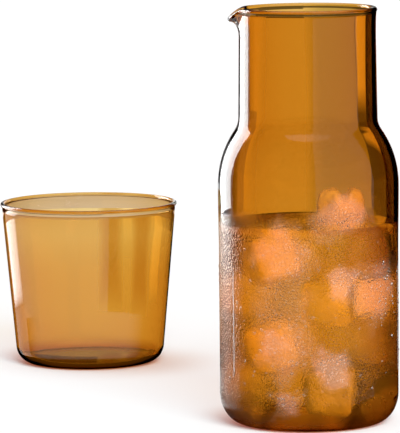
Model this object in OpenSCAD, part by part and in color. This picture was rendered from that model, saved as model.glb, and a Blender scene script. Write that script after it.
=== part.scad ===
// Bedside carafe with a tumbler, in blown amber glass.
// The carafe stands on the origin and pours towards -X. It holds water with ice cubes.
// The tumbler stands by itself, behind the carafe and to its left.

/* [Carafe] */
// Height of the carafe, from the table to the top of its rim
carafe_h = 200; // [190:1:240]
// Outside diameter of the straight body
body_d = 86.8; // [80:0.1:100]
// Height at which the straight body turns into the shoulder
body_h = 115; // [105:0.5:122]
// Outside diameter at the foot of the neck
neck_d = 66.8; // [60:0.1:72]
// Loss of diameter from the foot of the neck to its top
neck_taper = 1.4; // [0:0.1:4]
// Thickness of the glass wall
carafe_wall = 2.2; // [1.6:0.1:3]
// Thickness of the glass at the base
carafe_base = 3.2; // [2.5:0.1:8]
// Reach of the rounded bottom edge in from the side
carafe_corner_w = 12; // [8:0.5:18]
// Reach of the rounded bottom edge up the side
carafe_corner_h = 14.4; // [8:0.2:20]
// Radius of the shoulder's curve
shoulder_r = 47; // [35:1:60]
// Radius of the hollow curve under the neck
neck_fillet_r = 10.3; // [6:0.1:16]
// Rise of the hollow under the base
carafe_punt = 0.9; // [0.4:0.1:2]
// Width of the flat ring that the carafe stands on
carafe_foot_w = 7; // [4:0.5:12]

/* [Rim and pouring lip] */
// Radius of the bead round the carafe's rim
carafe_bead_r = 1.45; // [1.2:0.05:1.9]
// Height of the top band of the neck that the lip is pulled from
lip_h = 14; // [12:0.5:20]
// Reach of the lip past the rim
lip_reach = 4.4; // [3:0.1:8]
// Drop of the lip's tip below the rim
lip_dip = 4; // [2:0.1:6]
// Half of the angle that the lip takes of the rim, in degrees
lip_half_angle = 25; // [18:1:36]

/* [Tumbler] */
// Height of the tumbler
tumbler_h = 85; // [70:1:100]
// Outside diameter that the wall would have at the top
tumbler_top_d = 92.2; // [84:0.1:98]
// Outside diameter that the wall would have at the table
tumbler_foot_d = 76.7; // [68:0.1:82]
// Thickness of the tumbler's wall
tumbler_wall = 1.7; // [1.3:0.1:2.2]
// Thickness of the glass at the tumbler's base
tumbler_base = 2.4; // [2:0.1:7]
// Radius of the tumbler's rounded bottom edge
tumbler_corner_r = 9; // [6:0.5:13]
// Radius of the bead round the tumbler's rim
tumbler_bead_r = 1.15; // [1.1:0.05:1.5]
// Rise of the hollow under the tumbler's base
tumbler_punt = 0.8; // [0.4:0.1:1.6]
// Width of the flat ring that the tumbler stands on
tumbler_foot_w = 6; // [4:0.5:10]
// Place of the tumbler's axis across from the carafe's
tumbler_x = -116; // [-140:1:-105]
// Place of the tumbler's axis behind the carafe's
tumbler_y = 201; // [120:1:220]

/* [Water and ice] */
// Height of the water's surface above the table
water_h = 97; // [85:1:104]
// Clearance between the water and the glass
water_gap = 0.1; // [0.05:0.05:0.3]
// Side of an ice cube
ice_side = 23; // [20:0.5:24]
// Clearance between the ice and the water, the base and other ice
ice_gap = 0.3; // [0.2:0.1:1]
// Clearance between the ice and the carafe's wall
ice_wall_gap = 1; // [0.8:0.1:3]

/* [Hidden] */
$fn = 96;
// Steps along each rounded stretch of an outline
arc_steps = 12;
// Places round the rim at which the lip is drawn
lip_steps = 96;
// Places along the lip's centre line, as shares of its length
lip_place_shares = [0, 0.25, 0.45, 0.62, 0.78, 0.9, 1];
// Height of the lip's bend, as a share of the way up to its tip
lip_bend_share = 0.84;
// How far the foot of the lip's band stands proud of the neck, on both sides of the wall
lip_lap = 0.1;
// How late along the way the wall swells into the bead, as a power
bead_power = 8;
// How much narrower the lip's drop is than its reach, as a power
dip_power = 1.3;
// Radius of the ball that rounds off a cube's melted corners, as a share of its side
ice_round_share = 0.68;
// Ice cubes in each layer of the heap
ice_per_layer = 3;
// Where the first cube of the lowest layer lies round the axis, in degrees from +X
ice_start_angle = 50;
// How each cube has come to lie: turns about X, Y and Z, in degrees
ice_turns = [
    [20, 35, 10], [50, 10, 65], [38, 32, 20],
    [70, 25, 5], [40, 15, 80], [8, 6, 25],
    [65, 30, 45], [12, 55, 20], [34, 7, 15],
    [25, 20, 70], [5, 12, 35], [44, 28, 62],
    [20, 50, 10]
];

body_r = body_d / 2;
neck_r = neck_d / 2;
room_r = body_r - carafe_wall;
tumbler_top_r = tumbler_top_d / 2;
tumbler_foot_r = tumbler_foot_d / 2;

// The shoulder's two curves meet at this lean from the vertical
shoulder_angle = acos(1 - (body_r - neck_r) / (shoulder_r + neck_fillet_r));
neck_h = body_h + (shoulder_r + neck_fillet_r) * sin(shoulder_angle);

// The top band of the neck: its height, and the middle of its wall
neck_lean = neck_taper / 2 / (carafe_h - neck_h);
lip_z = carafe_h - lip_h;
lip_r = neck_r - neck_lean * (lip_z - neck_h) - carafe_wall / 2;
carafe_bead_out = carafe_bead_r - carafe_wall / 2;

// The tumbler's wall leans out by this angle from the vertical
tumbler_lean = atan2(tumbler_top_r - tumbler_foot_r, tumbler_h);
tumbler_bead_out = tumbler_bead_r - tumbler_wall / 2;

// Each cube of ice keeps inside a ball, and the balls stay apart: each layer is turned by half
// the angle between its cubes, and sinks into the gaps of the layer below
ice_ball_r = ice_side * ice_round_share;
ice_step = 2 * (ice_ball_r + ice_gap) + ice_gap;
ice_half_turn = 180 / ice_per_layer;
ice_ring_r = max(room_r - ice_wall_gap - ice_ball_r, ice_step / 2 / sin(ice_half_turn));
ice_reach = 2 * ice_ring_r * sin(ice_half_turn / 2);
ice_rise = max(ice_step / 2, sqrt(max(0, ice_step * ice_step - ice_reach * ice_reach)));

// Points along an arc of the two radii, from angle a0 to a1
function arc(centre, rx, rz, a0, a1) = [
    for (i = [0:arc_steps])
        let (a = a0 + (a1 - a0) * i / arc_steps)
        centre + [rx * cos(a), rz * sin(a)]
];

function backwards(points) = [for (i = [len(points) - 1:-1:0]) points[i]];

// The shallow hollow under a base, from the axis out to its foot ring
function punt(r, rise) = [
    for (i = [0:arc_steps])
        let (s = i / arc_steps)
        [r * s, rise * (1 - s * s)]
];

// The carafe's bottom edge, drawn in from the outside of the glass, on a floor of its own
function carafe_corner(inset, floor_z) =
    let (rise = carafe_corner_h - inset)
    arc([body_r - carafe_corner_w, floor_z + rise], carafe_corner_w - inset, rise, -90, 0);

// The carafe's shoulder and neck, drawn in from the outside of the glass
function carafe_neck(inset) = concat(
    arc([body_r - shoulder_r, body_h], shoulder_r - inset, shoulder_r - inset, 0, shoulder_angle),
    arc(
        [neck_r + neck_fillet_r, neck_h], neck_fillet_r + inset, neck_fillet_r + inset,
        180 + shoulder_angle, 180
    ),
    [[lip_r + carafe_wall / 2 - inset, lip_z]]
);

// Share of the lip's full pull at an angle from its middle
function lip_pull(a) = abs(a) < lip_half_angle ? (1 + cos(180 * a / lip_half_angle)) / 2 : 0;

// Section through the rim at an angle from the middle of the lip: the wall's centre line
// bends out towards the tip, and the wall swells into a bead at its end
function lip_section(a) =
    let (
        pull = lip_pull(a),
        foot = [lip_r, lip_z],
        tip_x = lip_r + carafe_bead_out + lip_reach * pull,
        tip_z = carafe_h - carafe_bead_r - lip_dip * pow(pull, dip_power),
        tip = [tip_x, tip_z],
        bend = [lip_r, lip_z + (tip_z - lip_z) * lip_bend_share],
        wall = [
            for (t = lip_place_shares)
                let (
                    p = (1 - t) * (1 - t) * foot + 2 * t * (1 - t) * bend + t * t * tip,
                    d = (1 - t) * (bend - foot) + t * (tip - bend),
                    lap = t > 0 ? 0 : lip_lap,
                    half = carafe_wall / 2 + lap + carafe_bead_out * pow(t, bead_power)
                )
                [p, half * [d[1], -d[0]] / norm(d)]
        ],
        end = len(wall) - 1,
        turn = atan2(wall[end][1][1], wall[end][1][0])
    )
    concat(
        [for (i = [0:end - 1]) wall[i][0] + wall[i][1]],
        arc(tip, carafe_bead_r, carafe_bead_r, turn, turn + 180),
        [for (i = [end - 1:-1:0]) wall[i][0] - wall[i][1]]
    );

// The top band of the neck with its rim and lip: a closed ring of sections
module lip_band() {
    ring = [
        for (i = [0:lip_steps - 1])
            let (a = 360 * i / lip_steps)
            [for (p = lip_section(a > 180 ? a - 360 : a)) [-p[0] * cos(a), -p[0] * sin(a), p[1]]]
    ];
    n = len(ring[0]);
    polyhedron(
        points = [for (section = ring) each section],
        faces = [
            for (i = [0:lip_steps - 1], j = [0:n - 1])
                let (
                    next_i = (i + 1) % lip_steps,
                    next_j = (j + 1) % n,
                    corner = i * n + next_j,
                    far_corner = next_i * n + j
                )
                each [
                    [i * n + j, corner, next_i * n + next_j],
                    [i * n + j, next_i * n + next_j, far_corner]
                ]
        ]
    );
}

// The carafe: one vessel of blown glass, with a lip pulled from its rim
module carafe() {
    foot_r = body_r - carafe_corner_w - carafe_foot_w;
    color([0.72, 0.44, 0.08, 0.6])
    union() {
        rotate_extrude()
            polygon(concat(
                punt(foot_r, carafe_punt),
                carafe_corner(0, 0),
                carafe_neck(0),
                backwards(carafe_neck(carafe_wall)),
                backwards(carafe_corner(carafe_wall, carafe_base)),
                [[0, carafe_base]]
            ));
        lip_band();
    }
}

// The tumbler's bottom edge, drawn in from the outside of the glass, on a floor of its own
function tumbler_corner(inset, floor_z) =
    let (
        r = tumbler_corner_r - inset,
        z = floor_z + r,
        x = tumbler_foot_r + (z * sin(tumbler_lean) - tumbler_corner_r) / cos(tumbler_lean)
    )
    arc([x, z], r, r, -90, -tumbler_lean);

// The tumbler: a tapering vessel of blown glass with a beaded rim
module tumbler() {
    edge = tumbler_corner(0, 0);
    bead_z = tumbler_h - tumbler_bead_r;
    bead_x = tumbler_foot_r + bead_z * tan(tumbler_lean)
        - (tumbler_wall / 2 - tumbler_bead_out) / cos(tumbler_lean);
    bead_start = acos((tumbler_wall / 2 - tumbler_bead_out) / tumbler_bead_r);
    color([0.84, 0.6, 0.26, 0.5])
    translate([tumbler_x, tumbler_y, 0])
    rotate_extrude()
        polygon(concat(
            punt(edge[0][0] - tumbler_foot_w, tumbler_punt),
            edge,
            arc(
                [bead_x, bead_z], tumbler_bead_r, tumbler_bead_r,
                -tumbler_lean - bead_start, 180 - tumbler_lean
            ),
            backwards(tumbler_corner(tumbler_wall, tumbler_base)),
            [[0, tumbler_base]]
        ));
}

// Centre of an ice cube, in its layer of the heap
function ice_centre(k) =
    let (
        layer = floor(k / ice_per_layer),
        a = ice_start_angle + ice_half_turn * (layer % 2 + 2 * (k % ice_per_layer))
    )
    [
        ice_ring_r * cos(a),
        ice_ring_r * sin(a),
        carafe_base + ice_gap + ice_ball_r + layer * ice_rise
    ];

// A cube of ice with melted corners, swollen by a clearance
module melted_cube(k, swell) {
    translate(ice_centre(k))
    rotate(ice_turns[k])
    intersection() {
        cube(ice_side + 2 * swell, center = true);
        sphere(ice_ball_r + swell);
    }
}

// One ice cube, melted away where it would touch the wall
module ice_cube(k) {
    color([0.93, 0.8, 0.66, 0.8])
    intersection() {
        melted_cube(k, 0);
        cylinder(r = room_r - ice_wall_gap, h = carafe_h);
    }
}

// The water, with room for the ice
module water() {
    color([0.75, 0.5, 0.16, 0.5])
    difference() {
        rotate_extrude()
            polygon(concat(
                [[0, carafe_base + water_gap]],
                carafe_corner(carafe_wall + water_gap, carafe_base + water_gap),
                [[room_r - water_gap, water_h], [0, water_h]]
            ));
        for (k = [0:len(ice_turns) - 1]) melted_cube(k, ice_gap);
    }
}

carafe();
tumbler();
water();
for (k = [0:len(ice_turns) - 1]) {
    ice_cube(k);
}
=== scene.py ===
"""Looks of a bedside carafe and tumbler in blown amber glass, with iced water and condensation."""
import math

import bpy
import numpy as np
from mathutils import Matrix, Vector, noise


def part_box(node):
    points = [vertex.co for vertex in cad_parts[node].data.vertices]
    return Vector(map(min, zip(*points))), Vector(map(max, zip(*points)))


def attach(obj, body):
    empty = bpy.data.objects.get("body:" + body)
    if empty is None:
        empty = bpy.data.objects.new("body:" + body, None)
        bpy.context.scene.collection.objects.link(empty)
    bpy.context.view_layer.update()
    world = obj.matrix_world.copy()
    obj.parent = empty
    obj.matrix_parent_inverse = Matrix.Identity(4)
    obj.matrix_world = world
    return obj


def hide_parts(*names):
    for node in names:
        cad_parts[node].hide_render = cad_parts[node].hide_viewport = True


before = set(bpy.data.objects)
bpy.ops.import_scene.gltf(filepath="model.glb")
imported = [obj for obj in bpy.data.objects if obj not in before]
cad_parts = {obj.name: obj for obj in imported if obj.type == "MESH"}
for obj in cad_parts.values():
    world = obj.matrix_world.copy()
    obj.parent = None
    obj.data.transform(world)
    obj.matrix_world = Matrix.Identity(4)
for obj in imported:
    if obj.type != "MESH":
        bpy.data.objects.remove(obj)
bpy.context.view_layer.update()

MM = 0.001
# How far the round rims stay inside the solids' flat facets, in millimetres
SLACK = 0.02
# Points of an outline that lie closer than this are one point, in millimetres
SAME_POINT = 1e-6

# Carafe, in millimetres and degrees
CARAFE_H = 200
BODY_R = 43.4
BODY_H = 115
NECK_R = 33.4
NECK_TAPER = 1.4
WALL = 2.2
BASE = 3.2
CORNER_W = 12
CORNER_H = 14.4
SHOULDER_R = 47
NECK_FILLET_R = 10.3
PUNT = 0.9
FOOT_W = 7
BEAD_R = 1.45
BEAD_SWELL_POWER = 8
LIP_H = 14
LIP_REACH = 4.4
LIP_DIP = 4
LIP_DIP_POWER = 1.3
LIP_HALF_ANGLE = 25
LIP_BEND_SHARE = 0.84

# Carafe, worked out from its sizes
SHOULDER_ANGLE = math.degrees(math.acos(1 - (BODY_R - NECK_R) / (SHOULDER_R + NECK_FILLET_R)))
NECK_H = BODY_H + (SHOULDER_R + NECK_FILLET_R) * math.sin(math.radians(SHOULDER_ANGLE))
NECK_LEAN = NECK_TAPER / 2 / (CARAFE_H - NECK_H)
LIP_Z = CARAFE_H - LIP_H
LIP_R = NECK_R - NECK_LEAN * (LIP_Z - NECK_H) - WALL / 2
BEAD_OUT = BEAD_R - WALL / 2

# Tumbler, in millimetres
TUMBLER_H = 85
TUMBLER_TOP_R = 46.1
TUMBLER_FOOT_R = 38.35
TUMBLER_WALL = 1.7
TUMBLER_BASE = 2.4
TUMBLER_CORNER_R = 9
TUMBLER_BEAD_R = 1.15
TUMBLER_PUNT = 0.8
TUMBLER_FOOT_W = 6
TUMBLER_AT = (-116, 201)
TUMBLER_LEAN = math.atan2(TUMBLER_TOP_R - TUMBLER_FOOT_R, TUMBLER_H)
# Where the tumbler's wall is thinner inside, near its rim
THINNED = 0.4
THINNED_FROM = 45
THINNED_RISE = 25
THINNED_FALL = 11
THINNED_TOP_GAP = 2

# Steps round the axis, and along the stretches of the outlines
TURNS = 240
CORNER_STEPS = 14
BODY_STEPS = 44
SHOULDER_STEPS = 16
FILLET_STEPS = 10
NECK_STEPS = 14
LIP_STEPS = 14
BEAD_STEPS = 12
PUNT_STEPS = 8
FLOOR_STEPS = 8
TUMBLER_WALL_STEPS = 30
TUMBLER_BEAD_STEPS = 16
WATER_WALL_STEPS = 20
WATER_TOP_STEPS = 24

# Unevenness of the blown walls, in millimetres, with more streaks round the axis for a larger number
UNEVEN = 0.05
STREAKS = 2.6
STREAK_LENGTH = 150
FINE_STREAKS = 7
FINE_STREAK_LENGTH = 120
FINE_STREAK_SHARE = 0.4
CARAFE_EVEN_H = 20
CARAFE_SEED = 3
TUMBLER_EVEN_H = 15
TUMBLER_SEED = 9

# Water, in millimetres
WATER_H = 97
WATER_LAP = 0.25
MENISCUS = 0.5
MENISCUS_REACH = 1.8
# Below 1, the rings of the water's top crowd towards the wall
WATER_CROWD_POWER = 0.6

# Ice, in millimetres, degrees for the spread of its points and radians for its turns
ICE_SIDE = 23.5
ICE_SQUARENESS = 4.4
ICE_STEPS = 22
ICE_SPREAD = 77
ICE_WEAR_SHARE = 0.12
ICE_WEAR_MEAN_SHARE = 0.5
# Share of the wear, and size, of the large and the small hollows
ICE_HOLLOWS = ((0.9, 11), (0.35, 4))
ICE_SEED_STEP = (31.7, 17.3, 7.9)
ICE_TURN_STEP = 2.1
ICE_AXIS_STEP = 1.7
ICE_AXIS_RISE = 0.6
TOP_ICE_SHARE = 0.88
TOP_ICE_SINK = 1.5
TOP_ICE_TURN = -0.75
TOP_ICE_TILT = 0.12
GROOVE_DEPTH = 4.5
GROOVE_OFFSET = 3
GROOVE_W = 3.5
# How cloudy each cube is, in the order of their numbers
ICE_HAZE = (0.05, 0.1, 0.35, 0.2, 0.7, 0.05, 0.7, 0.4, 0.25, 0.3, 0.8, 0.0, 1)

# Fog on the outside of the carafe, in millimetres, and degrees from the front to the right
FOG_TOP = 101.5
FOG_TILT = 3
FOG_SOFT = 2
FOG_WAVE = 1.2
FOG_WAVE_LENGTH = 14
FOG_PEAK = 9
FOG_PEAK_AT = 22
FOG_PEAK_SPREAD = 14
FOG_WIPED = 22
FOG_WIPED_AT = 82
FOG_WIPED_SPREAD = 30
FOG_FOOT = 1
FOG_FOOT_SOFT = 5
FOG_RUN_OFF = 24
FOG_RUN_OFF_AT = 75
FOG_RUN_OFF_SPREAD = 42
MIST_SHARE = 0.55
MIST_LIP_SHARE = 0.45
MIST_LOW_SHARE = 0.3
MIST_POWER = 3
# The fog's top band without beads, and where beads start above the bottom edge
WET_TOP_BAND = 9
WET_FOOT_DROP = 4
WET_FOOT_SOFT = 6
FOOT_BLUR_H = 6

# Spots of the wall with the densest dew: degrees from the front to the right, height, radius and share
COLD_SPOTS = (
    (-16, 85, 11, 1), (-18, 63, 12, 0.6), (-16, 41, 11, 0.9), (14, 33, 7, 1.7), (23, 70, 6, 1.4),
    (47, 66, 11, 1), (-22, 44, 5, 1.5), (-15, 16, 6, 1.2), (12, 98, 6, 0.5), (24, 106, 9, 1),
    (-95, 70, 9, 0.8), (-120, 35, 11, 0.8), (110, 80, 12, 1), (125, 45, 10, 0.8), (160, 66, 12, 1),
    (-155, 80, 10, 1), (-170, 30, 11, 0.8),
)
# How far a spot reaches, as a share of its radius, and the depth and length of the waves in its edge
COLD_REACH_SHARE = 1.7
COLD_WAVES = ((6, 9), (3, 3.5))
COLD_WAVES_APART = 500

# Drops of dew, in millimetres
DEW_RISE = 0.3
DEW_GAP = 0.02
DEW_WALL_R = BODY_R - DEW_RISE + DEW_GAP
DEW_RECESS_Z = 99
DEW_RECESS_SOFT = 15
DEW_LEAST_R = 0.22
DEW_MOST_R = 0.85
DEW_SPACING = 0.9
DEW_PER_MM2 = 0.22
DEW_LEAST_SHARE = 0.1
# Above 1, large drops are rarer than small ones
DEW_RARITY_POWER = 3
DEW_SEED = 4
DEW_ROWS = 60
DEW_SEGMENTS = 7
DEW_RINGS = 6

# Trickle of dew, in millimetres, and degrees round the axis
RUN_AT = -146.5
RUN_TOP = 77
RUN_BOTTOM = 25
RUN_HALF_W = 0.5
RUN_SWELL = 0.2
RUN_SWELL_LENGTH = 6
RUN_SWELL_SEED = 3.1
RUN_DROP = 0.75
RUN_DROP_SHARE = 0.96
RUN_DROP_SPREAD_SHARE = 0.03
RUN_END_POWER = 20
RUN_RISE_SHARE = 0.4
RUN_DRIFT = 0.8
RUN_DRIFT_LENGTH = 18
RUN_DRIFT_SEED = 7.7
RUN_RINGS = 60
RUN_SIDES = 10

# Camera, in millimetres, degrees and pixels of the frame
CAMERA_BACK = 2013
CAMERA_UP = 330.5
CAMERA_PITCH = 6.54
CAMERA_YAW = 1.48
CAMERA_ROLL = -0.53
CAMERA_SENSOR = 36
CAMERA_SIGHT = 50000
FOCAL_PX = 4221
FRAME_H_PX = 433

# Colour of the glass through its depth, per metre
AMBER = "#F3D855"
AMBER_DENSITY = 1100
WHITE = (1, 1, 1, 1)

# How much each material bends light. Ice bends it less than in air, because it lies in water.
GLASS_IOR = 1.47
WATER_IOR = 1.33
ICE_IOR = 1.12

# Studio: distances of the cards from their axis and heights of their edges, in millimetres
CLOSE = 120
NEAR = 600
BACK = 0.99 * NEAR
FAR = 2000
BEYOND = 2050
FOOT_CARD_R = 1.06 * BODY_R
CARAFE_SHADE_R = 1.3 * BODY_R
TUMBLER_CARD_R = 150
TUMBLER_SHADE_R = 1.2 * TUMBLER_FOOT_R
UNDER_BASE = -0.1
UNDER_FLOOR = -1
FLOOR_Z = -0.3
FLOOR_HALF = 8000
SILL = -140
BACK_GLOW_FOOT = 96
BACK_TOP = 230
FLAG_TOP = 900
LOW_EDGE = -3000
HIGH_EDGE = 3000
BEHIND_RIM = 66.5
CARD_STEPS = 24
CARD_ROWS = 8

# Studio: tints of the cards, ways that a card is seen, and the lamp
OLIVE = "#FBFFEC"
STRAW = "#FFEBC4"
COOL = "#D4D4FF"
BOTH_WAYS = {"through": True}
ONLY_THROUGH = {"reflected": False, "through": True}
BY_TUMBLER = {"at": TUMBLER_AT}
KEY_TOWARDS = (0.3, -0.9, 0.5)
KEY_STRENGTH = 5.3
KEY_SPREAD = 35
WORLD_LIGHT = 0.45
LIGHT_BOUNCES = 32
# Share of the floor's glow, and where it fades under a piece as shares of the piece's radius
FLOOR_GLOW_SHARE = 0.65
FLOOR_FADE_SHARES = (0.6, 1.7)


def linear(code):
    """Linear colour of an sRGB hex value."""
    parts = [int(code[i:i + 2], 16) / 255 for i in (1, 3, 5)]
    return tuple(p / 12.92 if p <= 0.04045 else ((p + 0.055) / 1.055) ** 2.4 for p in parts) + (1,)


def add(tree, kind, sockets=None, **settings):
    """Adds a node: settings are its properties, sockets its inputs as values or other nodes' outputs."""
    node = tree.nodes.new(kind)
    for key, value in settings.items():
        setattr(node, key, value)
    for key, value in (sockets or {}).items():
        if isinstance(value, bpy.types.NodeSocket):
            tree.links.new(value, node.inputs[key])
        else:
            node.inputs[key].default_value = value
    return node


def new_material(name):
    """An empty material and its node tree."""
    material = bpy.data.materials.new(name)
    material.use_nodes = True
    material.node_tree.nodes.clear()
    return material, material.node_tree


def ramp(rise, length):
    """A share that grows from 0 to 1 over a length."""
    return min(1, max(0, rise / length))


def between(pair, share):
    """The value at a share of the way from the first of a pair to the second."""
    return pair[0] + (pair[1] - pair[0]) * share


def arc(centre, rx, rz, start, end, steps):
    """Points along an arc of two radii, from one angle in degrees to another."""
    turn = np.radians(np.linspace(start, end, steps + 1))
    return np.stack([centre[0] + rx * np.cos(turn), centre[1] + rz * np.sin(turn)], axis=1)


def line(a, b, steps):
    """Points from a to b, both included."""
    share = np.linspace(0, 1, steps + 1)[:, None]
    return (1 - share) * np.array(a) + share * np.array(b)


def hollow(reach, rise):
    """The shallow hollow under a base, from the axis out to its foot ring."""
    share = np.linspace(0, 1, PUNT_STEPS + 1)
    return np.stack([reach * share, rise * (1 - share ** 2)], axis=1)


def chain(*stretches):
    """Joins stretches of an outline, without the points that two of them share."""
    points = np.vstack(stretches)
    step = np.linalg.norm(np.diff(points, axis=0), axis=1)
    return points[np.concatenate([[True], step > SAME_POINT])]


def mesh_object(name, points, faces, material):
    """A smooth piece from points in millimetres."""
    mesh = bpy.data.meshes.new(name)
    mesh.from_pydata((np.asarray(points) * MM).tolist(), [], faces)
    mesh.shade_smooth()
    mesh.materials.append(material)
    piece = bpy.data.objects.new(name, mesh)
    bpy.context.collection.objects.link(piece)
    return piece


def store(piece, attribute, values):
    """Keeps one value for each point of a piece, for its material or its drops to read."""
    piece.data.attributes.new(attribute, "FLOAT", "POINT").data.foreach_set("value", values)


def wall_faces(turns, rows):
    """Faces of a wall that closes round its axis, with its points in upright rows."""
    faces = []
    for i in range(turns):
        here, there = i * rows, (i + 1) % turns * rows
        faces += [(here + j, there + j, there + j + 1, here + j + 1) for j in range(rows - 1)]
    return faces


def revolved(name, sections, material, at=(0, 0)):
    """A closed piece from one section for each step round its axis. Each begins and ends on the axis."""
    turns, rows = len(sections), len(sections[0]) - 2
    angles = math.pi + 2 * math.pi * np.arange(turns) / turns
    r = np.array([s[1:-1, 0] for s in sections])
    z = np.array([s[1:-1, 1] for s in sections])
    x = at[0] + r * np.cos(angles)[:, None]
    y = at[1] + r * np.sin(angles)[:, None]
    ends = [[*at, sections[0][0, 1]], [*at, sections[0][-1, 1]]]
    points = np.vstack([np.stack([x, y, z], axis=2).reshape(-1, 3), ends])
    first, last = turns * rows, turns * rows + 1
    faces = wall_faces(turns, rows)
    for i in range(turns):
        here, there = i * rows, (i + 1) % turns * rows
        faces.append((first, there, here))
        faces.append((here + rows - 1, there + rows - 1, last))
    return mesh_object(name, points, faces, material)


def blown(r, z, angle, amount, seed):
    """Small unevenness of a blown wall: long streaks up the wall, in millimetres."""
    x, y = math.cos(angle), math.sin(angle)
    coarse = Vector((STREAKS * x + seed, STREAKS * y, z / STREAK_LENGTH))
    fine = Vector((FINE_STREAKS * x, FINE_STREAKS * y + seed, z / FINE_STREAK_LENGTH))
    return r + amount * (noise.noise(coarse) + FINE_STREAK_SHARE * noise.noise(fine))


def carafe_corner(inset, floor_z):
    """The rounded bottom edge of the carafe, drawn in from the outside."""
    rise = CORNER_H - inset
    return arc((BODY_R - CORNER_W, floor_z + rise), CORNER_W - inset, rise, -90, 0, CORNER_STEPS)


def carafe_side(inset, corner):
    """The wall from the bottom edge up to the band of the lip, drawn in from the outside."""
    r = SHOULDER_R - inset
    fillet = NECK_FILLET_R + inset
    fillet_at = (NECK_R + NECK_FILLET_R, NECK_H)
    return chain(
        corner,
        line(corner[-1], (BODY_R - inset, BODY_H), BODY_STEPS),
        arc((BODY_R - SHOULDER_R, BODY_H), r, r, 0, SHOULDER_ANGLE, SHOULDER_STEPS),
        arc(fillet_at, fillet, fillet, 180 + SHOULDER_ANGLE, 180, FILLET_STEPS),
        line((NECK_R - inset, NECK_H), (LIP_R + WALL / 2 - inset, LIP_Z), NECK_STEPS),
    )


def lip_section(angle):
    """Section through the rim at an angle in degrees from the middle of the lip."""
    pull = (1 + math.cos(math.pi * angle / LIP_HALF_ANGLE)) / 2 if abs(angle) < LIP_HALF_ANGLE else 0
    foot = np.array([LIP_R, LIP_Z])
    tip_z = CARAFE_H - SLACK - BEAD_R - LIP_DIP * pull ** LIP_DIP_POWER
    tip = np.array([LIP_R + BEAD_OUT + LIP_REACH * pull, tip_z])
    bend = np.array([LIP_R, LIP_Z + (tip_z - LIP_Z) * LIP_BEND_SHARE])
    t = np.linspace(0, 1, LIP_STEPS + 1)[:, None]
    middle = (1 - t) ** 2 * foot + 2 * t * (1 - t) * bend + t ** 2 * tip
    along = (1 - t) * (bend - foot) + t * (tip - bend)
    out = np.stack([along[:, 1], -along[:, 0]], axis=1) / np.linalg.norm(along, axis=1)[:, None]
    half = WALL / 2 + BEAD_OUT * t ** BEAD_SWELL_POWER
    turn = math.degrees(math.atan2(out[-1, 1], out[-1, 0]))
    cap = arc(tip, BEAD_R, BEAD_R, turn, turn + 180, BEAD_STEPS)
    return chain((middle + half * out)[1:-1], cap, (middle - half * out)[-2:0:-1])


def fog_share(z, edge, foot, soft=FOG_SOFT):
    """How much of the fog there is at a height: none above its edge, all below, less at the foot."""
    rise = np.clip((edge + soft - z) / (2 * soft), 0, 1)
    return rise * rise * (3 - 2 * rise) * np.clip((z - foot) / FOG_FOOT_SOFT, 0, 1)


def carafe_sections():
    """Sections of the carafe round its axis, and how many points of each are its outside below the lip."""
    punt = hollow(BODY_R - CORNER_W - FOOT_W, PUNT)
    outside = chain(punt, carafe_side(0, carafe_corner(0, 0)))
    outside[:, 0] -= DEW_RISE * fog_share(outside[:, 1], DEW_RECESS_Z, FOG_FOOT, DEW_RECESS_SOFT)
    inside = carafe_side(WALL, carafe_corner(WALL, BASE))[::-1]
    floor = line(inside[-1], (0, BASE), FLOOR_STEPS)[1:]
    sections = []
    for i in range(TURNS):
        angle = 2 * math.pi * i / TURNS
        degrees = (math.degrees(angle) + 180) % 360 - 180
        wall = []
        for r, z in inside:
            uneven = UNEVEN * ramp(LIP_Z - z, CARAFE_EVEN_H)
            wall.append((blown(r, z, angle, uneven, CARAFE_SEED), z))
        sections.append(np.vstack([outside, lip_section(degrees), wall, floor]))
    return sections, len(outside)


def tumbler_corner(inset, floor_z):
    """The rounded bottom edge of the tumbler, drawn in from the outside."""
    r = TUMBLER_CORNER_R - inset
    z = floor_z + r
    x = TUMBLER_FOOT_R + (z * math.sin(TUMBLER_LEAN) - TUMBLER_CORNER_R) / math.cos(TUMBLER_LEAN)
    return arc((x, z), r, r, -90, -math.degrees(TUMBLER_LEAN), CORNER_STEPS)


def thinned(z):
    """How much thinner the tumbler's wall is near its rim, up to just under the bead."""
    rise = ramp(z - THINNED_FROM, THINNED_RISE)
    return THINNED * rise * ramp(TUMBLER_H - THINNED_TOP_GAP - z, THINNED_FALL)


def tumbler_sections():
    """Sections of the tumbler round its axis."""
    outer = tumbler_corner(0, 0)
    inner = tumbler_corner(TUMBLER_WALL, TUMBLER_BASE)
    punt = hollow(outer[0, 0] - TUMBLER_FOOT_W, TUMBLER_PUNT)
    bead_out = TUMBLER_BEAD_R - TUMBLER_WALL / 2
    offset = TUMBLER_WALL / 2 - bead_out
    bead_z = TUMBLER_H - TUMBLER_BEAD_R
    bead_x = TUMBLER_FOOT_R + bead_z * math.tan(TUMBLER_LEAN) - offset / math.cos(TUMBLER_LEAN) - SLACK
    start = -math.degrees(math.acos(offset / TUMBLER_BEAD_R) + TUMBLER_LEAN)
    end = 180 - math.degrees(TUMBLER_LEAN)
    bead = arc((bead_x, bead_z), TUMBLER_BEAD_R, TUMBLER_BEAD_R, start, end, TUMBLER_BEAD_STEPS)
    outside = chain(punt, outer, line(outer[-1], bead[0], TUMBLER_WALL_STEPS), bead)
    inside = chain(line(bead[-1], inner[-1], TUMBLER_WALL_STEPS)[1:], inner[::-1])
    floor = line(inside[-1], (0, TUMBLER_BASE), FLOOR_STEPS)[1:]
    sections = []
    for i in range(TURNS):
        angle = 2 * math.pi * i / TURNS
        wall = []
        for r, z in inside:
            uneven = UNEVEN * ramp(bead_z - z, TUMBLER_EVEN_H)
            wall.append((blown(r, z, angle, uneven, TUMBLER_SEED) + thinned(z), z))
        sections.append(np.vstack([outside, wall, floor]))
    return sections


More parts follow.
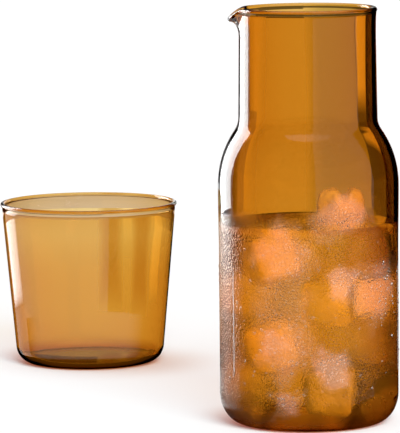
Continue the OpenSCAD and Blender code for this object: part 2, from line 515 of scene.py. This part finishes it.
def water_sections():
    """The water, lapping a little into the glass so that the two read as wet together."""
    inset = WALL - WATER_LAP
    reach = BODY_R - inset
    corner = carafe_corner(inset, BASE - WATER_LAP)
    wall = line(corner[-1], (reach, WATER_H + MENISCUS), WATER_WALL_STEPS)
    side = chain([(0, BASE - WATER_LAP)], corner, wall)
    share = np.linspace(0, 1, WATER_TOP_STEPS + 1)[1:] ** WATER_CROWD_POWER
    r = reach * (1 - share)
    top = np.stack([r, WATER_H + MENISCUS * np.exp(-(reach - r) / MENISCUS_REACH)], axis=1)
    section = np.vstack([side, top])
    section[-1, 0] = 0
    return [section] * TURNS


def cube_faces(steps):
    """Points of a cube from -1 to 1, with a grid on each face, and its faces."""
    axis = np.linspace(-1, 1, steps + 1)
    points, index, faces = [], {}, []

    def corner(p):
        key = tuple(np.round(p, 6))
        if key not in index:
            index[key] = len(points)
            points.append(p)
        return index[key]

    for side in range(3):
        for sign in (-1, 1):
            for a in range(steps):
                for b in range(steps):
                    quad = []
                    for u, v in ((a, b), (a + 1, b), (a + 1, b + 1), (a, b + 1)):
                        p = [0, 0, 0]
                        p[side] = sign
                        p[(side + 1) % 3] = axis[u]
                        p[(side + 2) % 3] = axis[v]
                        quad.append(corner(np.array(p, dtype=float)))
                    faces.append(quad if sign > 0 else quad[::-1])
    return np.array(points), faces


def ice_block(name, centre, size, turn, seed, groove, material):
    """A melted ice cube: a rounded cube worn hollow in places, turned as it has come to lie.

    groove is the depth of a channel melted across its top.
    """
    p, faces = cube_faces(ICE_STEPS)
    spread = math.radians(ICE_SPREAD)
    p = np.sin(p * spread) / math.sin(spread)
    p /= (np.abs(p) ** ICE_SQUARENESS).sum(axis=1)[:, None] ** (1 / ICE_SQUARENESS)
    p *= size / 2
    place = Vector([seed * step for step in ICE_SEED_STEP])
    wear = [sum(share * noise.noise((Vector(q) + place) / length) for share, length in ICE_HOLLOWS)
            for q in p]
    p *= 1 - ICE_WEAR_SHARE * np.clip(ICE_WEAR_MEAN_SHARE + np.array(wear), 0, None)[:, None]
    top = np.clip(2 * p[:, 2] / size, 0, None)
    p[:, 2] -= groove * top * np.exp(-((p[:, 0] + p[:, 1] - GROOVE_OFFSET) / GROOVE_W) ** 2)
    return mesh_object(name, p @ np.array(turn).T + centre, faces, material)


def bearing(place):
    """Degrees from the front to the right, round the carafe's axis."""
    return math.degrees(math.atan2(place.x, -place.y))


def cold_waves(place):
    """Waviness of the edge of a cold spot, in millimetres."""
    return sum(depth * noise.noise(place / length) for depth, length in COLD_WAVES)


def frost_share(place):
    """How cold the wall is at a place in millimetres: coldest in spots where ice lies against it."""
    front = bearing(place)
    aside = cold_waves(place)
    above = cold_waves(place + Vector((COLD_WAVES_APART, 0, 0)))
    share = 0
    for angle, z, r, most in COLD_SPOTS:
        away = (front - angle + 180) % 360 - 180
        distance = math.hypot(math.radians(away) * BODY_R + aside, place.z - z + above)
        near = min(1, max(0, COLD_REACH_SHARE - distance / r))
        share = max(share, most * near * near * (3 - 2 * near))
    return share


def mist_share(place):
    """How fine and dense the fog is at a place: densest at the top, on the side of the lip."""
    side = MIST_SHARE - MIST_LIP_SHARE * place.x / BODY_R
    return side * min(1, MIST_LOW_SHARE + (1 - MIST_LOW_SHARE) * (place.z / FOG_TOP) ** MIST_POWER)


def fog_edge(place):
    """Height of the fog's edge at a place, in millimetres: highest by the top ice, wiped on the right."""
    front = bearing(place)
    peak = FOG_PEAK * math.exp(-((front - FOG_PEAK_AT) / FOG_PEAK_SPREAD) ** 2)
    thumb = FOG_WIPED * math.exp(-((front - FOG_WIPED_AT) / FOG_WIPED_SPREAD) ** 4)
    wave = FOG_WAVE * noise.noise(place / FOG_WAVE_LENGTH)
    return FOG_TOP - FOG_TILT * place.y / BODY_R + peak - thumb + wave


def fog_foot(place):
    """Height of the fog's foot at a place, in millimetres: higher on the right, where it has run off."""
    away = (bearing(place) - FOG_RUN_OFF_AT) / FOG_RUN_OFF_SPREAD
    return FOG_FOOT + FOG_RUN_OFF * math.exp(-away ** 4)


def fog_at(place):
    """How much fog there is at a place in millimetres."""
    return fog_share(place.z, fog_edge(place), fog_foot(place))


def wet_share(place):
    """How far the fog has run together into beads: not yet in its top band."""
    below = ramp(fog_edge(place) - place.z, WET_TOP_BAND)
    return fog_at(place) * below * ramp(place.z - CORNER_H + WET_FOOT_DROP, WET_FOOT_SOFT)


def dew_share(place):
    """Share of the drops that the wall carries at a place in millimetres."""
    return wet_share(place) * (DEW_LEAST_SHARE + (1 - DEW_LEAST_SHARE) * frost_share(place))


def lay_films(carafe, rows, outside_rows):
    """Gives each point of the carafe's outside its fog, frost, beads, mist, and the blur of its foot."""
    count = len(carafe.data.vertices)
    films = {film: np.zeros(count) for film in ("fog", "frost", "wet", "mist", "foot")}
    for i, vertex in enumerate(carafe.data.vertices):
        if i < TURNS * rows and i % rows < outside_rows:
            place = vertex.co / MM
            fog = fog_at(place)
            films["fog"][i] = fog
            films["frost"][i] = fog * frost_share(place)
            films["wet"][i] = wet_share(place)
            films["mist"][i] = fog * mist_share(place)
            films["foot"][i] = ramp(CORNER_H - place.z, FOOT_BLUR_H)
    for film, values in films.items():
        store(carafe, film, values)


def dew_tree():
    """Drops of condensation over a wall: flattened beads of many sizes, closer where the wall is colder."""
    tree = bpy.data.node_groups.new("dew_drops", "GeometryNodeTree")
    tree.interface.new_socket("Geometry", in_out="INPUT", socket_type="NodeSocketGeometry")
    tree.interface.new_socket("Geometry", in_out="OUTPUT", socket_type="NodeSocketGeometry")
    for socket in ("Spacing", "Per area", "Least radius", "Most radius", "Height share"):
        tree.interface.new_socket(socket, in_out="INPUT", socket_type="NodeSocketFloat")
    tree.interface.new_socket("Seed", in_out="INPUT", socket_type="NodeSocketInt")
    tree.interface.new_socket("Material", in_out="INPUT", socket_type="NodeSocketMaterial")
    given = add(tree, "NodeGroupInput").outputs
    cold = add(tree, "GeometryNodeInputNamedAttribute", {"Name": "dew"}, data_type="FLOAT")
    points = add(tree, "GeometryNodeDistributePointsOnFaces", {
        "Mesh": given["Geometry"], "Distance Min": given["Spacing"], "Density Max": given["Per area"],
        "Density Factor": cold.outputs["Attribute"], "Seed": given["Seed"]}, distribute_method="POISSON")
    chance = add(tree, "FunctionNodeRandomValue", {"Seed": given["Seed"]}, data_type="FLOAT")
    few_large = add(tree, "ShaderNodeMath", {0: chance.outputs[1], 1: DEW_RARITY_POWER}, operation="POWER")
    radius = add(tree, "ShaderNodeMapRange", {
        "Value": few_large.outputs[0], "To Min": given["Least radius"],
        "To Max": given["Most radius"]}).outputs["Result"]
    height = add(tree, "ShaderNodeMath", {0: radius, 1: given["Height share"]}, operation="MULTIPLY")
    size = add(tree, "ShaderNodeCombineXYZ", {"X": radius, "Y": radius, "Z": height.outputs[0]})
    ball = add(tree, "GeometryNodeMeshUVSphere", {
        "Segments": DEW_SEGMENTS, "Rings": DEW_RINGS, "Radius": 1.0})
    point = add(tree, "ShaderNodeSeparateXYZ", {0: add(tree, "GeometryNodeInputPosition").outputs[0]})
    above = add(tree, "ShaderNodeMath", {0: point.outputs["Z"], 1: 0.0}, operation="MAXIMUM")
    domed = add(tree, "ShaderNodeCombineXYZ", {
        "X": point.outputs["X"], "Y": point.outputs["Y"], "Z": above.outputs[0]})
    bead = add(tree, "GeometryNodeSetPosition", {
        "Geometry": ball.outputs["Mesh"], "Position": domed.outputs[0]})
    beads = add(tree, "GeometryNodeInstanceOnPoints", {
        "Points": points.outputs["Points"], "Instance": bead.outputs[0],
        "Rotation": points.outputs["Rotation"], "Scale": size.outputs[0]})
    smooth = add(tree, "GeometryNodeSetShadeSmooth", {"Geometry": beads.outputs[0]})
    real = add(tree, "GeometryNodeRealizeInstances", {"Geometry": smooth.outputs[0]})
    wet = add(tree, "GeometryNodeSetMaterial", {"Geometry": real.outputs[0], "Material": given["Material"]})
    add(tree, "NodeGroupOutput", {"Geometry": wet.outputs[0]})
    return tree


def dew_drops(material):
    """Drops on the fogged outside of the carafe."""
    heights = np.linspace(CORNER_H, FOG_TOP + FOG_TILT, DEW_ROWS)
    angles = np.linspace(0, 2 * math.pi, TURNS, endpoint=False)
    points = [(DEW_WALL_R * math.cos(a), DEW_WALL_R * math.sin(a), z) for a in angles for z in heights]
    drops = mesh_object("dew_drops", points, wall_faces(TURNS, DEW_ROWS), material)
    store(drops, "dew", [dew_share(Vector(p)) for p in points])
    grow = drops.modifiers.new("dew_drops", "NODES")
    grow.node_group = dew_tree()
    sizes = {
        "Spacing": DEW_SPACING * MM,
        "Per area": DEW_PER_MM2 / MM ** 2,
        "Least radius": DEW_LEAST_R * MM,
        "Most radius": DEW_MOST_R * MM,
        "Height share": (DEW_RISE - DEW_GAP) / DEW_MOST_R,
        "Seed": DEW_SEED,
        "Material": material,
    }
    for socket in grow.node_group.interface.items_tree:
        if socket.in_out == "INPUT" and socket.name in sizes:
            grow[socket.identifier] = sizes[socket.name]
    made = drops.evaluated_get(bpy.context.evaluated_depsgraph_get())
    mesh = bpy.data.meshes.new_from_object(made)
    drops.modifiers.clear()
    drops.data = mesh
    return drops


def dew_run(material):
    """A trickle down the wall, that ends in a hanging drop."""
    points = []
    for i in range(RUN_RINGS + 1):
        share = i / RUN_RINGS
        z = between((RUN_TOP, RUN_BOTTOM), share)
        uneven = RUN_SWELL * noise.noise(Vector((RUN_SWELL_SEED, 0, z / RUN_SWELL_LENGTH)))
        drop = RUN_DROP * math.exp(-((share - RUN_DROP_SHARE) / RUN_DROP_SPREAD_SHARE) ** 2)
        ends = math.sqrt(max(0, 1 - (2 * share - 1) ** RUN_END_POWER))
        half = (RUN_HALF_W + uneven + drop) * ends
        rise = min(DEW_RISE - DEW_GAP, RUN_RISE_SHARE * half)
        drift = RUN_DRIFT * noise.noise(Vector((0, RUN_DRIFT_SEED, z / RUN_DRIFT_LENGTH)))
        for k in range(RUN_SIDES):
            turn = 2 * math.pi * k / RUN_SIDES
            out = DEW_WALL_R + max(0, rise * math.sin(turn))
            along = math.radians(RUN_AT) + (drift + half * math.cos(turn)) / DEW_WALL_R
            points.append((out * math.cos(along), out * math.sin(along), z))
    faces = []
    for i in range(RUN_RINGS):
        here, there = i * RUN_SIDES, (i + 1) * RUN_SIDES
        for k in range(RUN_SIDES):
            after = (k + 1) % RUN_SIDES
            faces.append((here + k, here + after, there + after, there + k))
    top, bottom = range(RUN_SIDES), range(RUN_RINGS * RUN_SIDES, (RUN_RINGS + 1) * RUN_SIDES)
    faces += [tuple(top)[::-1], tuple(bottom)]
    return mesh_object("dew_run", points, faces, material)


def finish_clear(tree, surface, tint=None):
    """Lets lamp light through a clear surface, and colours what is tinted by its thickness."""
    clear = add(tree, "ShaderNodeBsdfTransparent")
    path = add(tree, "ShaderNodeLightPath")
    mix = add(tree, "ShaderNodeMixShader", {
        0: path.outputs["Is Shadow Ray"], 1: surface.outputs[0], 2: clear.outputs[0]})
    out = add(tree, "ShaderNodeOutputMaterial", {"Surface": mix.outputs[0]})
    if tint:
        depth = add(tree, "ShaderNodeVolumeAbsorption", {"Color": linear(tint), "Density": AMBER_DENSITY})
        tree.links.new(depth.outputs[0], out.inputs["Volume"])


def carafe_glass():
    """Soda-lime glass coloured amber, blown. Fog blurs the cold outside, and whitens it by the ice.

    Its fine drops hide more of the glass where the wall turns away from the eye. The beads of the fog
    are drawn coarser than real ones, so that they show. Where it is cold, white specks on the beads are
    painted glints of the drops. The fog's cream colour, pinkish by the ice, is painted warm light that
    it scatters from behind.
    """
    bead, bead_rise, bead_lift = 1.1 * MM, 0.3 * MM, 0.75
    patch = 9 * MM
    foot_blur = 0.18
    hidden_at_edge = 0.14
    # Share of the glass hidden on the middle of a bead, which shows as a painted glint of the drop, and
    # between the beads, the fog's even haze
    painted_glint_on_bead, hidden_between = 0.26, 0.065
    material, tree = new_material("amber_blown_glass_carafe")
    film = {name: add(tree, "ShaderNodeAttribute", attribute_name=name).outputs["Fac"]
            for name in ("fog", "frost", "wet", "mist", "foot")}
    facing = add(tree, "ShaderNodeLayerWeight", {"Blend": 0.5}).outputs["Facing"]
    place = add(tree, "ShaderNodeTexCoord").outputs["Object"]
    beads = add(tree, "ShaderNodeTexVoronoi", {"Vector": place, "Scale": 1 / bead})
    # Painted glints: where it is cold, a white speck shows at the middle of each bead, over the fog's even
    # haze
    haze_and_painted_glints = add(tree, "ShaderNodeMapRange", {
        "Value": beads.outputs["Distance"], "From Min": 0.12, "From Max": 0.3,
        "To Min": -painted_glint_on_bead, "To Max": -hidden_between})
    patches = add(tree, "ShaderNodeTexNoise", {"Vector": place, "Scale": 1 / patch, "Detail": 4})
    rough = add(tree, "ShaderNodeMapRange", {
        "Value": patches.outputs["Fac"], "From Min": 0.3, "From Max": 0.7, "To Min": 0.08, "To Max": 0.21})
    foot = add(tree, "ShaderNodeMath", {0: film["foot"], 1: foot_blur}, operation="MULTIPLY")
    wet_rough = add(tree, "ShaderNodeMath", {
        0: film["fog"], 1: rough.outputs["Result"], 2: foot.outputs[0]}, operation="MULTIPLY_ADD")
    frosted = add(tree, "ShaderNodeMath", {
        0: film["frost"], 1: haze_and_painted_glints.outputs["Result"], 2: 1.0}, operation="MULTIPLY_ADD")
    turned = add(tree, "ShaderNodeMath", {0: facing, 1: 2}, operation="POWER")
    edge = add(tree, "ShaderNodeMath", {0: turned.outputs[0], 1: film["mist"]}, operation="MULTIPLY")
    veil = add(tree, "ShaderNodeMath", {
        0: edge.outputs[0], 1: -hidden_at_edge, 2: frosted.outputs[0]}, operation="MULTIPLY_ADD")
    lift = add(tree, "ShaderNodeMath", {0: film["wet"], 1: bead_lift}, operation="MULTIPLY")
    bump = add(tree, "ShaderNodeBump", {
        "Strength": lift.outputs[0], "Distance": bead_rise, "Height": beads.outputs["Distance"]}, invert=True)
    # Painted light: the fog's cream colour, and the pink where frost is, stand for the warm light from behind
    # that the fog scatters. As base colour they also tint what passes through the fog
    haze = add(tree, "ShaderNodeMix", {
        "Factor": film["fog"], "A": WHITE, "B": linear("#F6EBB8")}, data_type="RGBA")
    painted_backlight_tint = add(tree, "ShaderNodeMix", {
        "Factor": film["frost"], "A": haze.outputs["Result"], "B": linear("#FFDCC8")}, data_type="RGBA")
    glass = add(tree, "ShaderNodeBsdfPrincipled", {
        "Base Color": painted_backlight_tint.outputs["Result"], "IOR": GLASS_IOR, "Roughness": wet_rough.outputs[0],
        "Transmission Weight": veil.outputs[0], "Normal": bump.outputs[0]})
    finish_clear(tree, glass, AMBER)
    return material


def tumbler_glass():
    """The same amber glass, blown thinner and so paler, with a fire-polished rim and faint smears."""
    smear = 30 * MM
    material, tree = new_material("amber_blown_glass_tumbler")
    place = add(tree, "ShaderNodeTexCoord").outputs["Object"]
    smears = add(tree, "ShaderNodeTexNoise", {"Vector": place, "Scale": 1 / smear, "Detail": 3})
    rough = add(tree, "ShaderNodeMapRange", {
        "Value": smears.outputs["Fac"], "From Min": 0.45, "From Max": 0.75, "To Min": 0.0, "To Max": 0.04})
    glass = add(tree, "ShaderNodeBsdfPrincipled", {
        "Base Color": WHITE, "IOR": GLASS_IOR, "Roughness": rough.outputs["Result"],
        "Transmission Weight": 1.0})
    finish_clear(tree, glass, AMBER)
    return material


def clear_water(name):
    """Clean water: no colour of its own at this depth, and a smooth surface with a faint swirl."""
    swirl_size = 12 * MM
    material, tree = new_material(name)
    place = add(tree, "ShaderNodeTexCoord").outputs["Object"]
    swirl = add(tree, "ShaderNodeTexNoise", {"Vector": place, "Scale": 1 / swirl_size, "Detail": 2})
    rough = add(tree, "ShaderNodeMapRange", {"Value": swirl.outputs["Fac"], "To Min": 0.0, "To Max": 0.03})
    water = add(tree, "ShaderNodeBsdfPrincipled", {
        "Base Color": WHITE, "IOR": WATER_IOR, "Roughness": rough.outputs["Result"],
        "Transmission Weight": 1.0})
    finish_clear(tree, water)
    return material


def cloudy_ice():
    """Tray ice: clouds of trapped air that hide what is behind them, and a pitted, melting surface."""
    cloud_size, pit_depth = 10 * MM, 1.2 * MM
    material, tree = new_material("cloudy_tray_ice")
    place = add(tree, "ShaderNodeTexCoord").outputs["Object"]
    noises = add(tree, "ShaderNodeTexNoise", {
        "Vector": place, "Scale": 1 / cloud_size, "Detail": 5, "Roughness": 0.6})
    cloud = noises.outputs["Fac"]
    haze = add(tree, "ShaderNodeAttribute", attribute_name="haze").outputs["Fac"]
    least = add(tree, "ShaderNodeMapRange", {"Value": haze, "To Min": 1.0, "To Max": 0.02})
    most = add(tree, "ShaderNodeMapRange", {"Value": haze, "To Min": 1.0, "To Max": 0.6})
    clear = add(tree, "ShaderNodeMapRange", {
        "Value": cloud, "From Min": 0.35, "From Max": 0.65,
        "To Min": least.outputs["Result"], "To Max": most.outputs["Result"]})
    rough = add(tree, "ShaderNodeMapRange", {
        "Value": cloud, "From Min": 0.35, "From Max": 0.65, "To Min": 0.45, "To Max": 0.12})
    bump = add(tree, "ShaderNodeBump", {"Strength": 0.4, "Distance": pit_depth, "Height": cloud})
    ice = add(tree, "ShaderNodeBsdfPrincipled", {
        "Base Color": linear("#FBF8F4"), "IOR": ICE_IOR, "Roughness": rough.outputs["Result"],
        "Transmission Weight": clear.outputs["Result"], "Normal": bump.outputs[0]})
    finish_clear(tree, ice)
    return material


def pale_floor():
    """Pale studio floor that glows a little, to stay white, except under the two pieces."""
    material, tree = new_material("pale_studio_floor")
    place = add(tree, "ShaderNodeTexCoord").outputs["Object"]
    share = FLOOR_GLOW_SHARE
    for x, y, r in ((0, 0, BODY_R), (*TUMBLER_AT, TUMBLER_TOP_R)):
        off = add(tree, "ShaderNodeVectorMath", {0: place, 1: (x * MM, y * MM, 0)}, operation="DISTANCE")
        inner, outer = (fade * r * MM for fade in FLOOR_FADE_SHARES)
        clear = add(tree, "ShaderNodeMapRange", {
            "Value": off.outputs["Value"], "From Min": inner, "From Max": outer},
            interpolation_type="SMOOTHSTEP")
        less = add(tree, "ShaderNodeMath", {0: clear.outputs["Result"], 1: share}, operation="MULTIPLY")
        share = less.outputs[0]
    board = add(tree, "ShaderNodeBsdfDiffuse", {"Color": linear("#F2F2F2")})
    glow = add(tree, "ShaderNodeEmission", {"Color": WHITE, "Strength": 1.0})
    mix = add(tree, "ShaderNodeMixShader", {0: share, 1: board.outputs[0], 2: glow.outputs[0]})
    add(tree, "ShaderNodeOutputMaterial", {"Surface": mix.outputs[0]})
    return material


def card_glow(name, level, tint, beyond):
    """The light of a studio card, which fades to the level beyond and to white, on its inner side alone."""
    material, tree = new_material(name)
    share = add(tree, "ShaderNodeAttribute", attribute_name="share").outputs["Fac"]
    bright = add(tree, "ShaderNodeMapRange", {"Value": share, "To Min": beyond, "To Max": level})
    colour = add(tree, "ShaderNodeMix", {"Factor": share, "A": WHITE, "B": linear(tint)}, data_type="RGBA")
    glow = add(tree, "ShaderNodeEmission", {
        "Color": colour.outputs["Result"], "Strength": bright.outputs["Result"]})
    inner = add(tree, "ShaderNodeNewGeometry").outputs["Backfacing"]
    clear = add(tree, "ShaderNodeBsdfTransparent")
    mix = add(tree, "ShaderNodeMixShader", {0: inner, 1: clear.outputs[0], 2: glow.outputs[0]})
    add(tree, "ShaderNodeOutputMaterial", {"Surface": mix.outputs[0]})
    return material


def studio_card(name, level, azimuths, radii, heights, reflected=True, through=False, at=(0, 0),
                tint="#FFFFFF", soft=0, beyond=1):
    """A curved card seen only in the glass, from the side of its axis: reflected in it, through it, or both.

    level is its brightness. azimuths, radii and heights run from edge to edge, in degrees and millimetres.
    soft is the share of its width and height over which its sides and its foot fade to the level beyond.
    """
    points, shares = [], []
    for across in np.linspace(0, 1, CARD_STEPS + 1):
        turn = math.radians(between(azimuths, across))
        for up in np.linspace(0, 1, CARD_ROWS + 1):
            r, z = between(radii, up), between(heights, up)
            points.append((at[0] + r * math.sin(turn), at[1] + r * math.cos(turn), z))
            shares.append(min(1, across / soft, (1 - across) / soft, up / soft) if soft else 1)
    faces = []
    for i in range(CARD_STEPS):
        here, there = i * (CARD_ROWS + 1), (i + 1) * (CARD_ROWS + 1)
        faces += [(here + j, here + j + 1, there + j + 1, there + j) for j in range(CARD_ROWS)]
    card = mesh_object(name, points, faces, card_glow(name, level, tint, beyond))
    store(card, "share", shares)
    card.visible_camera = False
    card.visible_diffuse = False
    card.visible_shadow = False
    card.visible_glossy = reflected
    card.visible_transmission = through


def standing_card(name, level, azimuths, radius, heights, **looks):
    """A card that stands round an axis."""
    studio_card(name, level, azimuths, (radius, radius), heights, **looks)


def lying_card(name, level, azimuths, radius, height, **looks):
    """A round card, or a slice of one, that lies flat under a piece."""
    studio_card(name, level, azimuths, (0, radius), (height, height), **looks)


def carafe_cards():
    """Cards that give the carafe its bright side, dark edges and the bands seen through it, and a painted
    shade at its foot and under its base.
    """
    standing_card("window_card", 8, (-64, -31), FAR, (SILL, 1500))
    standing_card("window_sill_card", 0.7, (-64, -31), FAR, (-590, SILL))
    standing_card("left_flag", 0, (-28, -18), NEAR, (60, FLAG_TOP))
    standing_card("back_left_glow_card", 1.25, (-12, -5), NEAR, (0, BACK_TOP), soft=0.3, **BOTH_WAYS)
    standing_card("back_grey_card", 0.72, (-0.3, 7.6), NEAR, (0, BACK_TOP),
                  tint=OLIVE, soft=0.18, **BOTH_WAYS)
    standing_card("back_glow_card", 1.5, (6.4, 12.2), BACK, (BACK_GLOW_FOOT, BACK_TOP),
                  soft=0.12, beyond=0.22, **BOTH_WAYS)
    standing_card("back_brown_card", 0.22, (6.4, 12.2), BACK, (0, BACK_GLOW_FOOT), **BOTH_WAYS)
    standing_card("right_flag", 0, (11.8, 62), NEAR, (0, FLAG_TOP), **BOTH_WAYS)
    standing_card("right_dark_card", 0, (14, 89), FAR, (LOW_EDGE, HIGH_EDGE))
    standing_card("right_grey_card", 0.5, (89, 171), FAR, (-300, HIGH_EDGE))
    standing_card("right_low_card", 0, (89, 171), FAR, (LOW_EDGE, -300))
    standing_card("front_dark_card", 0, (171, 292), FAR, (LOW_EDGE, HIGH_EDGE))
    standing_card("upper_dark_card", 0.15, (-4, 200), BEYOND, (170, HIGH_EDGE), **BOTH_WAYS)
    standing_card("upper_left_card", 0.15, (200, 356), BEYOND, (400, HIGH_EDGE), **BOTH_WAYS)
    standing_card("left_near_flag", 0, (-77, -22), CLOSE, (-60, 260), soft=0.14, beyond=0.6, **ONLY_THROUGH)
    # Painted shade: dark low cards round the foot and dim discs under the base, seen only through the glass,
    # stand for the shaded floor beside and under the carafe
    standing_card("left_foot_shade_card", 0.1, (-80, -24), FOOT_CARD_R, (UNDER_BASE, 14), **ONLY_THROUGH)
    standing_card("right_foot_shade_card", 0.03, (8, 85), FOOT_CARD_R, (UNDER_BASE, 20), **ONLY_THROUGH)
    lying_card("base_shade_card", 0.02, (0, 180), BODY_R, UNDER_BASE, **ONLY_THROUGH)
    lying_card("base_left_shade_card", 0.25, (180, 360), BODY_R, UNDER_BASE, tint=OLIVE, **ONLY_THROUGH)


def tumbler_cards():
    """Cards round the tumbler, for its bright side, its dark edges, its straw-coloured bands and a painted
    shade under its base.
    """
    r = TUMBLER_CARD_R
    standing_card("tumbler_window_card", 5, (-82, -48), r, (4, 54), soft=0.16, beyond=0.3, **BY_TUMBLER)
    standing_card("tumbler_front_card", 1.1, (154, 276), r, (-4, 60), **BY_TUMBLER)
    standing_card("tumbler_mouth_card", 1.2, (-25, 25), r, (BEHIND_RIM, 120),
                  tint=COOL, **ONLY_THROUGH, **BY_TUMBLER)
    standing_card("tumbler_low_card", 1.1, (100, 276), r, (-90, -4), soft=0.14, beyond=0, **BY_TUMBLER)
    standing_card("tumbler_left_flag", 0, (-49, -20), r, (-60, 60), **BY_TUMBLER)
    standing_card("tumbler_right_flag", 0, (22, 49), r, (-60, 60), **BY_TUMBLER)
    # Painted shade: a dim disc under the base, seen only through it, stands for the shaded floor beneath
    lying_card("tumbler_base_shade_card", 0.15, (0, 360), TUMBLER_FOOT_R, UNDER_BASE, **ONLY_THROUGH, **BY_TUMBLER)
    standing_card("tumbler_band_card", 0.82, (-1, 4.8), r, (6, BEHIND_RIM),
                  tint=STRAW, soft=0.3, **BOTH_WAYS, **BY_TUMBLER)
    standing_card("tumbler_side_card", 0.82, (7, 12.6), r, (2, BEHIND_RIM),
                  tint=STRAW, soft=0.3, **BOTH_WAYS, **BY_TUMBLER)
    standing_card("tumbler_glow_card", 1.4, (13.2, 16.5), r, (10, 75), soft=0.2, **BOTH_WAYS, **BY_TUMBLER)


def make_camera():
    """The camera in front of the set, a little above it, and not quite level."""
    yaw, pitch, roll = (math.radians(a) for a in (CAMERA_YAW, CAMERA_PITCH, CAMERA_ROLL))
    ahead = Vector((-math.sin(yaw), math.cos(yaw), 0))
    right = Vector((math.cos(yaw), math.sin(yaw), 0))
    look = ahead * math.cos(pitch) - Vector((0, 0, math.sin(pitch)))
    up = Vector((0, 0, math.cos(pitch))) + ahead * math.sin(pitch)
    rolled_right = right * math.cos(roll) + up * math.sin(roll)
    rolled_up = up * math.cos(roll) - right * math.sin(roll)
    data = bpy.data.cameras.new("camera")
    data.sensor_width = CAMERA_SENSOR
    data.lens = CAMERA_SENSOR * FOCAL_PX / FRAME_H_PX
    data.clip_end = CAMERA_SIGHT * MM
    camera = bpy.data.objects.new("camera", data)
    turn = Matrix((rolled_right, rolled_up, -look)).transposed().to_4x4()
    camera.matrix_world = Matrix.Translation((0, -CAMERA_BACK * MM, CAMERA_UP * MM)) @ turn
    bpy.context.collection.objects.link(camera)
    bpy.context.scene.camera = camera


def key_sun():
    """A broad even lamp far off in front, with soft shadows."""
    data = bpy.data.lights.new("key_sun", "SUN")
    data.energy = KEY_STRENGTH
    data.angle = math.radians(KEY_SPREAD)
    lamp = bpy.data.objects.new("key_sun", data)
    lamp.rotation_euler = (-Vector(KEY_TOWARDS)).to_track_quat("-Z", "Y").to_euler()
    lamp.visible_camera = False
    lamp.visible_glossy = False
    lamp.visible_transmission = False
    bpy.context.collection.objects.link(lamp)


def white_world():
    """A white background to the eye and in the glass, and a dimmer soft light on everything else."""
    world = bpy.data.worlds.new("soft_white_studio")
    bpy.context.scene.world = world
    world.use_nodes = True
    tree = world.node_tree
    tree.nodes.clear()
    path = add(tree, "ShaderNodeLightPath").outputs
    direct = add(tree, "ShaderNodeMath", {
        0: path["Is Camera Ray"], 1: path["Is Glossy Ray"]}, operation="MAXIMUM")
    in_glass = add(tree, "ShaderNodeMath", {
        0: direct.outputs[0], 1: path["Is Transmission Ray"]}, operation="MAXIMUM")
    unbounced = add(tree, "ShaderNodeMath", {0: path["Diffuse Depth"], 1: 0.5}, operation="LESS_THAN")
    seen = add(tree, "ShaderNodeMath", {
        0: in_glass.outputs[0], 1: unbounced.outputs[0]}, operation="MULTIPLY")
    level = add(tree, "ShaderNodeMapRange", {"Value": seen.outputs[0], "To Min": WORLD_LIGHT, "To Max": 1.0})
    sky = add(tree, "ShaderNodeBackground", {"Color": WHITE, "Strength": level.outputs["Result"]})
    add(tree, "ShaderNodeOutputWorld", {"Surface": sky.outputs[0]})


def studio():
    """The floor, the world, the cards and the lamp."""
    scene = bpy.context.scene
    scene.view_settings.view_transform = "Standard"
    scene.cycles.max_bounces = LIGHT_BOUNCES
    scene.cycles.transmission_bounces = LIGHT_BOUNCES
    scene.cycles.transparent_max_bounces = LIGHT_BOUNCES
    white_world()
    corners = [(x * FLOOR_HALF, y * FLOOR_HALF, FLOOR_Z) for x, y in ((-1, -1), (1, -1), (1, 1), (-1, 1))]
    floor = mesh_object("floor", corners, [(0, 1, 2, 3)], pale_floor())
    floor.visible_glossy = False
    carafe_cards()
    tumbler_cards()
    lying_card("carafe_shade", 0, (0, 360), CARAFE_SHADE_R, UNDER_FLOOR)
    lying_card("tumbler_shade", 0, (0, 360), TUMBLER_SHADE_R, UNDER_FLOOR, **BY_TUMBLER)
    key_sun()


def ice_heap(material):
    """The cubes of the heap with their nodes. The top one is smaller, and has a channel melted across it."""
    nodes = [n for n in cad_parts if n.startswith("ice_cube_")]
    nodes.sort(key=lambda n: int(n.rsplit("_", 1)[1]))
    centres = {n: (np.array(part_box(n)[0]) + np.array(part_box(n)[1])) / 2 / MM for n in nodes}
    top_node = max(nodes, key=lambda n: centres[n][2])
    blocks = []
    for k, node in enumerate(nodes, 1):
        centre, size, groove = centres[node], ICE_SIDE, 0
        axis = Vector((math.sin(k), math.cos(ICE_AXIS_STEP * k), ICE_AXIS_RISE)).normalized()
        turn = Matrix.Rotation(ICE_TURN_STEP * k, 3, axis)
        if node == top_node:
            centre = centre - np.array([0, 0, TOP_ICE_SINK])
            size, groove = TOP_ICE_SHARE * ICE_SIDE, GROOVE_DEPTH
            turn = Matrix.Rotation(TOP_ICE_TURN, 3, "Z") @ Matrix.Rotation(TOP_ICE_TILT, 3, "X")
        block = ice_block(f"melted_{node}", centre, size, turn, k, groove, material)
        store(block, "haze", np.full(len(block.data.vertices), ICE_HAZE[k - 1]))
        blocks.append((block, node))
    return blocks


# Camera, studio and pieces
make_camera()
studio()
sections, outside_count = carafe_sections()
carafe = revolved("blown_carafe", sections, carafe_glass())
lay_films(carafe, len(sections[0]) - 2, outside_count - 1)
tumbler = revolved("blown_tumbler", tumbler_sections(), tumbler_glass(), TUMBLER_AT)
water = revolved("iced_water", water_sections(), clear_water("clean_water"))
dew_water = clear_water("dew_water")
drops = dew_drops(dew_water)
trickle = dew_run(dew_water)

pieces = [(carafe, "filled_carafe", "carafe", "carafe_glass"),
          (tumbler, "loose_tumbler", "tumbler", "tumbler_glass"),
          (water, "filled_carafe", "water", "water"),
          (drops, "filled_carafe", None, "water"),
          (trickle, "filled_carafe", None, "water")]
pieces += [(block, "filled_carafe", node, "ice") for block, node in ice_heap(cloudy_ice())]

for piece, body, node, slot in pieces:
    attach(piece, body)
    if node:
        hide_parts(node)
